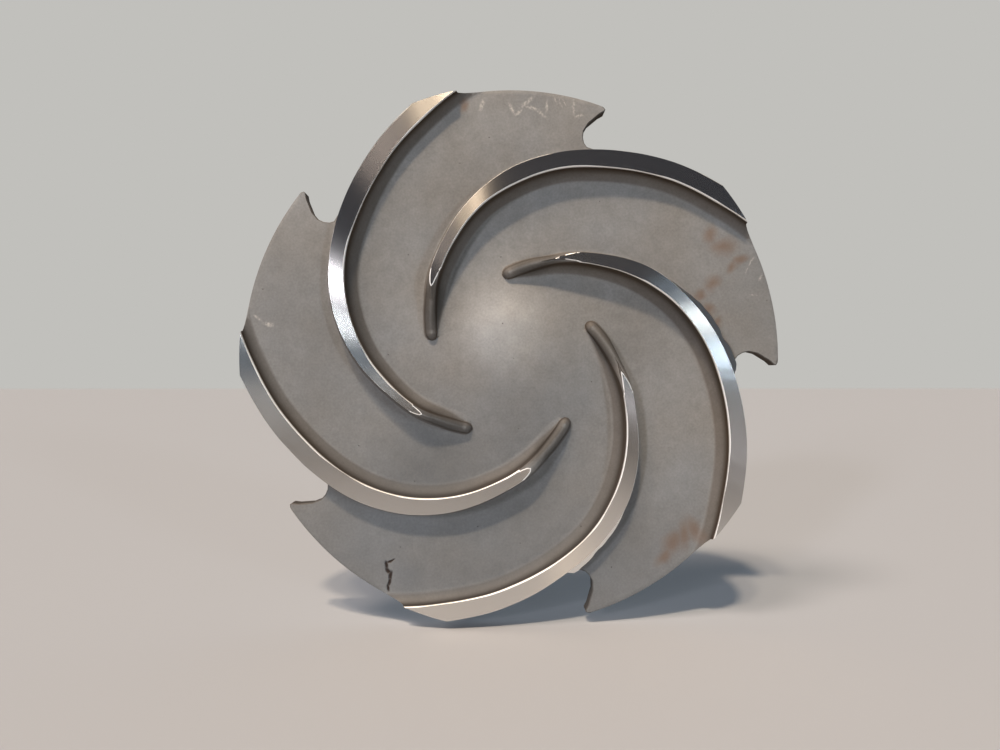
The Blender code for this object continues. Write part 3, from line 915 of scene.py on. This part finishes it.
relief = node(tree, 'ShaderNodeMath', {0: mottle.outputs["Fac"], 1: MOTTLE_HEIGHT},
              operation='MULTIPLY')
relief = node(tree, 'ShaderNodeMath', {0: grain.outputs["Fac"], 1: GRAIN_HEIGHT, 2: relief.outputs[0]},
              operation='MULTIPLY_ADD')
relief = node(tree, 'ShaderNodeMath', {0: dark_mark.outputs[0], 1: -CRACK_DEPTH, 2: relief.outputs[0]},
              operation='MULTIPLY_ADD')
bump = node(tree, 'ShaderNodeBump', {"Height": relief.outputs[0], "Distance": 1.0})
gloss = node(tree, 'ShaderNodeMapRange', {"Value": cloud.outputs["Fac"], "From Min": 0.3,
                                          "From Max": 0.7, "To Min": 0.74, "To Max": 0.82})
gloss = node(tree, 'ShaderNodeMath', {0: dome_highlight, 1: -DOME_HIGHLIGHT_GLOSS, 2: gloss.outputs[0]},
             operation='MULTIPLY_ADD')
shader = tree.nodes["Principled BSDF"]
shader.inputs["Metallic"].default_value = 1.0
tree.links.new(marked.outputs[2], shader.inputs["Base Color"])
tree.links.new(gloss.outputs[0], shader.inputs["Roughness"])
tree.links.new(bump.outputs[0], shader.inputs["Normal"])


# Edge lip and ground strips
# The facing tool rolls a fine bright lip over the inner edges of the vanes. Two vanes were
# dressed with a hand grinder beside their scallops, which left short bright strips.
for finish, roughness in ((finishes[LIP], 0.6), (finishes[GROUND], 0.3)):
    finish.use_nodes = True
    tree = finish.node_tree
    place = node(tree, 'ShaderNodeTexCoord').outputs["Object"]
    streaks = node(tree, 'ShaderNodeTexNoise', {"Vector": place, "Scale": 1.0 / (1.2 * MM),
                                                "Detail": 3.0})
    bump = node(tree, 'ShaderNodeBump', {"Height": streaks.outputs["Fac"], "Distance": 0.04 * MM})
    shader = tree.nodes["Principled BSDF"]
    shader.inputs["Base Color"].default_value = linear("#F8F7F5")
    shader.inputs["Metallic"].default_value = 1.0
    shader.inputs["Roughness"].default_value = roughness
    tree.links.new(bump.outputs[0], shader.inputs["Normal"])


# Floor
# Plain pale floor under the rim.
FLOOR_SIZE = 12.0
FLOOR_GAP = 0.2 * MM
FLOOR_PATCH = (-0.04, -0.08, 0.0)   # centre of the part that the wheel reflects in full
FLOOR_NEAR = 0.15                   # radius of that part
FLOOR_FAR = 0.42                    # from here on the wheel reflects only a dim floor
bpy.ops.mesh.primitive_plane_add(size=FLOOR_SIZE, location=(0.0, 0.0, -OUTER_RADIUS - FLOOR_GAP))
ground = bpy.context.object
ground.name = "floor"
floor_paint = bpy.data.materials.new("floor_paint")
floor_paint.use_nodes = True
tree = floor_paint.node_tree
place = node(tree, 'ShaderNodeTexCoord').outputs["Object"]
away = node(tree, 'ShaderNodeVectorMath', {0: place, 1: FLOOR_PATCH}, operation='DISTANCE')
near = node(tree, 'ShaderNodeMapRange', {"Value": away.outputs["Value"], "From Min": FLOOR_NEAR,
                                         "From Max": FLOOR_FAR, "To Min": 1.0, "To Max": 0.0},
            interpolation_type='SMOOTHSTEP')
seen = node(tree, 'ShaderNodeLightPath').outputs["Is Camera Ray"]
pale = node(tree, 'ShaderNodeMath', {0: near.outputs[0], 1: seen}, operation='MAXIMUM')
paint = node(tree, 'ShaderNodeMix', {0: pale.outputs[0], 6: linear("#4A4744"), 7: linear("#BDC1C8")},
             data_type='RGBA')
shader = tree.nodes["Principled BSDF"]
shader.inputs["Roughness"].default_value = 0.7
tree.links.new(paint.outputs[2], shader.inputs["Base Color"])
ground.data.materials.append(floor_paint)

# Studio light
# Two small warm lamps above, and cooler lamps to the left and the right, all distant.
LAMPS = (
    # name, direction around the shaft axis, tilt from it, apparent size, strength, colour
    ("key_left", 107.0, 57.0, 4.0, 0.68, "#FFE8CA"),
    ("key_right", 100.5, 57.0, 4.0, 1.55, "#FFE6C8"),
    ("key_soft", 119.0, 65.0, 16.0, 1.20, "#FFEBDC"),
    ("left_high", 153.5, 36.0, 6.0, 0.68, "#FAF8FF"),
    ("left_low", 166.0, 34.0, 6.0, 0.35, "#F1F9FF"),
    ("right_high", 13.5, 37.0, 6.0, 0.31, "#F4FCFF"),
    ("right_low", 3.0, 37.0, 6.0, 0.29, "#DAEDFF"),
    ("right_soft", 22.0, 38.0, 10.0, 0.06, "#CCE7FF"),
)
for name, direction, tilt, size, strength, colour in LAMPS:
    lamp = bpy.data.lights.new(name, 'SUN')
    lamp.angle = math.radians(size)
    lamp.energy = strength
    lamp.color = linear(colour)[:3]
    holder = bpy.data.objects.new(name, lamp)
    bpy.context.scene.collection.objects.link(holder)
    around = math.radians(direction)
    lean = math.radians(tilt)
    toward = Vector((math.cos(around) * math.sin(lean), -math.cos(lean),
                     math.sin(around) * math.sin(lean)))
    holder.rotation_euler = toward.to_track_quat('Z', 'Y').to_euler()

# The room is pale behind the wheel and dim in front; the camera itself sees pale all round.
ROOM_PALE = linear("#C1C0BC")
ROOM_BEHIND = linear("#949BA0")
ROOM_DIM = linear("#272B33")
world = bpy.data.worlds.new("studio")
bpy.context.scene.world = world
world.use_nodes = True
tree = world.node_tree
way = node(tree, 'ShaderNodeSeparateXYZ', {0: node(tree, 'ShaderNodeTexCoord').outputs["Generated"]})
behind = node(tree, 'ShaderNodeMapRange', {"Value": way.outputs["Y"], "From Min": -0.1,
                                           "From Max": 0.3}, interpolation_type='SMOOTHSTEP')
room = node(tree, 'ShaderNodeMix', {0: behind.outputs[0], 6: ROOM_DIM, 7: ROOM_BEHIND},
            data_type='RGBA')
seen = node(tree, 'ShaderNodeLightPath').outputs["Is Camera Ray"]
shown = node(tree, 'ShaderNodeMix', {0: seen, 6: room.outputs[2], 7: ROOM_PALE}, data_type='RGBA')
tree.links.new(shown.outputs[2], tree.nodes["Background"].inputs["Color"])

# Camera
# The photograph's place: nearly square to the vane faces, a little left of and below the shaft.
CAMERA_FOCAL = 27.04                # for the 36 mm sensor width
CAMERA_PLACE = Vector((-4.99, -6.79, 285.42)) * MM
CAMERA_LEVEL = VANE_TOP - RIM_VANE_HEIGHT
CAMERA_YAW = 1.35
CAMERA_TILT = -0.19
lens = bpy.data.cameras.new("camera")
lens.lens = CAMERA_FOCAL
lens.clip_start = 0.01
camera = bpy.data.objects.new("camera", lens)
bpy.context.scene.collection.objects.link(camera)
turned_view = (Matrix.Rotation(math.radians(CAMERA_YAW), 4, 'Y')
               @ Matrix.Rotation(math.radians(CAMERA_TILT), 4, 'X')).inverted()
camera.matrix_world = (Matrix.Rotation(math.radians(90.0), 4, 'X')
                       @ Matrix.Translation((0.0, 0.0, CAMERA_LEVEL))
                       @ turned_view @ Matrix.Translation(CAMERA_PLACE))
bpy.context.scene.camera = camera
bpy.context.scene.view_settings.view_transform = 'Standard'
